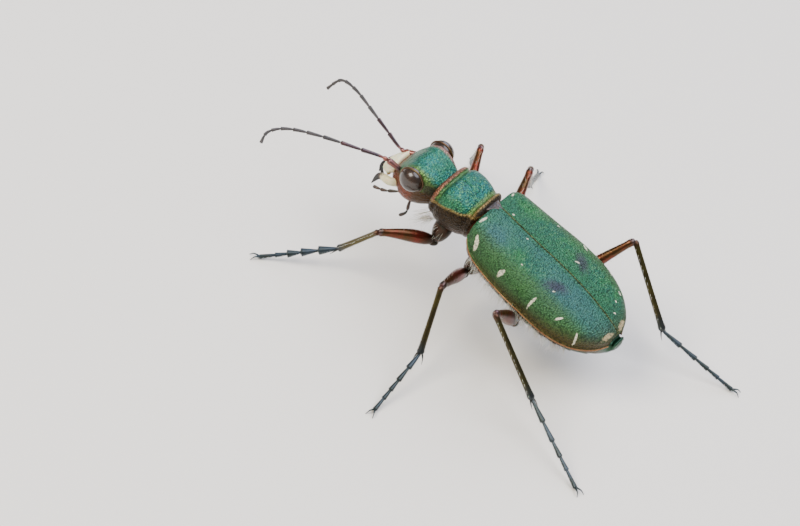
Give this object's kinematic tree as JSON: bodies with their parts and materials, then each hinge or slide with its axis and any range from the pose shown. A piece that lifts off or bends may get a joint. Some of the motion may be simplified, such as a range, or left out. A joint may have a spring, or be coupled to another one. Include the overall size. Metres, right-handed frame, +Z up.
{
  "type": "tiger beetle model",
  "caption": "Life-size green tiger beetle standing on six long slender legs, head up, jaws forward and feelers spread, with wing cases closed over its back.",
  "frame": {"origin": "on the floor, under the middle of the beetle's box, legs and feelers counted", "axes": "+X toward the beetle's left, -Y toward its head, +Z up from the floor that its feet stand on"},
  "size_m": [0.0218, 0.026, 0.007],
  "materials": {
    "wing_case": "silky matt green cuticle with fine punctures and cream spots",
    "shield": "granulated blue-green metallic cuticle with copper edges",
    "bronze_cuticle": "dark green-bronze metallic cuticle",
    "eye": "dark brown glossy compound eye",
    "labrum": "cream horn-like cuticle",
    "mandible": "cream horn-like cuticle with dark teeth",
    "palp": "dark metallic green cuticle",
    "feeler_base": "pinkish copper metallic cuticle",
    "feeler_tip": "matt grey-black cuticle with fine down",
    "coxa": "dark copper metallic cuticle",
    "femur": "copper-red metallic cuticle",
    "tibia": "bronze-green metallic cuticle",
    "tarsus": "steel blue-grey metallic cuticle"
  },
  "bodies": {
    "root": {"elytron_left": "wing_case", "eye_left": "eye", "mandible_left": "mandible", "maxillary_palp_left": "palp", "labial_palp_left": "palp", "scape_left": "feeler_base", "flagellum_base_left": "feeler_base", "flagellum_tip_left": "feeler_tip", "elytron_right": "wing_case", "eye_right": "eye", "mandible_right": "mandible", "maxillary_palp_right": "palp", "labial_palp_right": "palp", "scape_right": "feeler_base", "flagellum_base_right": "feeler_base", "flagellum_tip_right": "feeler_tip", "scutellum": "bronze_cuticle", "thorax": "bronze_cuticle", "abdomen": "bronze_cuticle", "pronotum": "shield", "head": "shield", "labrum": "labrum", "coxa_front_left": "coxa", "femur_front_left": "femur", "tibia_front_left": "tibia", "tarsus_front_left": "tarsus", "coxa_front_right": "coxa", "femur_front_right": "femur", "tibia_front_right": "tibia", "tarsus_front_right": "tarsus", "coxa_middle_left": "coxa", "femur_middle_left": "femur", "tibia_middle_left": "tibia", "tarsus_middle_left": "tarsus", "coxa_middle_right": "coxa", "femur_middle_right": "femur", "tibia_middle_right": "tibia", "tarsus_middle_right": "tarsus", "coxa_hind_left": "coxa", "femur_hind_left": "femur", "tibia_hind_left": "tibia", "tarsus_hind_left": "tarsus", "coxa_hind_right": "coxa", "femur_hind_right": "femur", "tibia_hind_right": "tibia", "tarsus_hind_right": "tarsus"}
  },
  "joints": []
}
